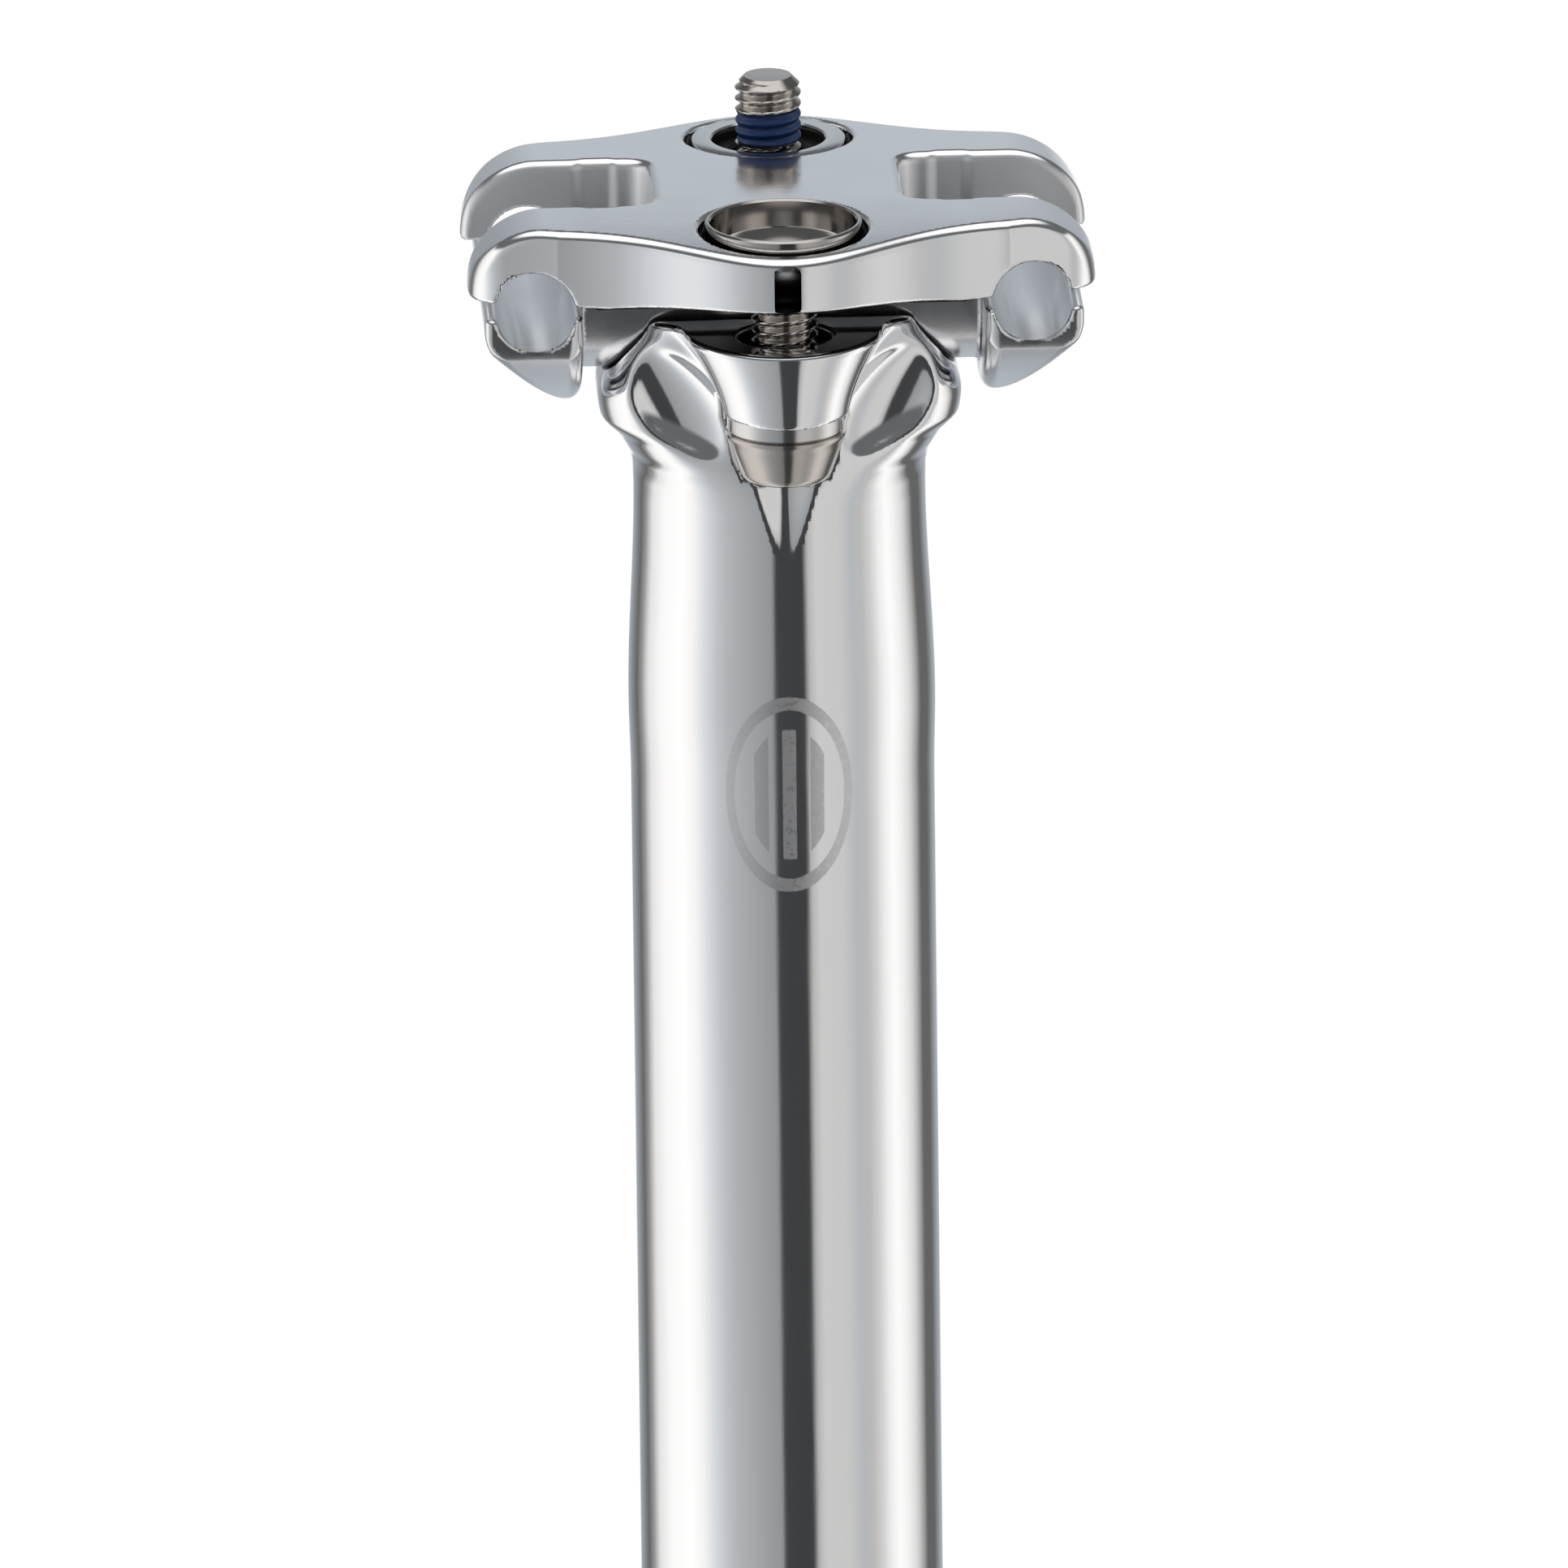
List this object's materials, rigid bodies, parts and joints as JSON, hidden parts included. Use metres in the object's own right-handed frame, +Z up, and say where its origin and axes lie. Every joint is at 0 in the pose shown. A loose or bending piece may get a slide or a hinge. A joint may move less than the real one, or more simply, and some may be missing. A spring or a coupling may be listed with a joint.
{
  "type": "seatpost",
  "caption": "Rigid forged aluminium bicycle seatpost with a tilting rail cradle, an H-shaped upper clamp and a clamp bolt at the front and at the rear.",
  "frame": {"origin": "middle of the post's open lower end, on the tube's axis", "axes": "+Z up along the post, -Y to the front of the bicycle side shown, saddle rails along Y, +X across the clamp"},
  "size_m": [0.0564, 0.0462, 0.3631],
  "materials": {
    "polished_post": "polished",
    "polished_clamp": "polished",
    "bolt_steel": "satin",
    "washer_steel": "satin",
    "nut_steel": "satin",
    "nylon": "matte"
  },
  "bodies": {
    "post": {"post": "polished_post"},
    "cradle": {"lower_cradle": "polished_clamp"},
    "clamp": {"upper_clamp": "polished_clamp"},
    "front_washer": {"front_washer": "washer_steel"},
    "rear_washer": {"rear_washer": "washer_steel"},
    "front_bolt": {"front_bolt": "bolt_steel", "front_bolt_patch": "nylon"},
    "rear_bolt": {"rear_bolt": "bolt_steel", "rear_bolt_patch": "nylon"},
    "front_nut": {"front_nut": "nut_steel"},
    "rear_nut": {"rear_nut": "nut_steel"}
  },
  "joints": [
    {"name": "saddle_tilt", "type": "hinge", "parent": "post", "child": "cradle", "pos_m": [0, 0, 0.35], "axis": [1, 0, 0], "range_deg": [-10, 10]},
    {"name": "clamp_open", "type": "slide", "parent": "cradle", "child": "clamp", "axis": [0, 0, 1], "range_m": [0, 0.0025]},
    {"name": "front_washer_swivel", "type": "hinge", "parent": "post", "child": "front_washer", "pos_m": [0, -0.01425, 0.3296], "axis": [1, 0, 0], "range_deg": [-3.04, 3.04]},
    {"name": "rear_washer_swivel", "type": "hinge", "parent": "post", "child": "rear_washer", "pos_m": [0, 0.01425, 0.3296], "axis": [1, 0, 0], "range_deg": [-3.04, 3.04]},
    {"name": "front_bolt_turn", "type": "hinge", "parent": "front_washer", "child": "front_bolt", "pos_m": [0, -0.01425, 0.35], "axis": [0, 0, 1], "range_deg": [0, 900]},
    {"name": "rear_bolt_turn", "type": "hinge", "parent": "rear_washer", "child": "rear_bolt", "pos_m": [0, 0.01425, 0.35], "axis": [0, 0, 1], "range_deg": [0, 900]},
    {"name": "front_nut_swivel", "type": "hinge", "parent": "clamp", "child": "front_nut", "pos_m": [0, -0.01425, 0.3585], "axis": [1, 0, 0], "range_deg": [-7.16, 7.16]},
    {"name": "rear_nut_swivel", "type": "hinge", "parent": "clamp", "child": "rear_nut", "pos_m": [0, 0.01425, 0.3585], "axis": [1, 0, 0], "range_deg": [-7.16, 7.16]}
  ],
  "couplings": [
    {"joint": "front_bolt_turn", "follows": "clamp_open", "rad_per_m": 6283.2},
    {"joint": "rear_bolt_turn", "follows": "clamp_open", "rad_per_m": 6283.2},
    {"joint": "front_washer_swivel", "follows": "saddle_tilt", "ratio": 0.29412},
    {"joint": "rear_washer_swivel", "follows": "saddle_tilt", "ratio": 0.29412},
    {"joint": "front_nut_swivel", "follows": "saddle_tilt", "ratio": -0.70588},
    {"joint": "rear_nut_swivel", "follows": "saddle_tilt", "ratio": -0.70588}
  ]
}
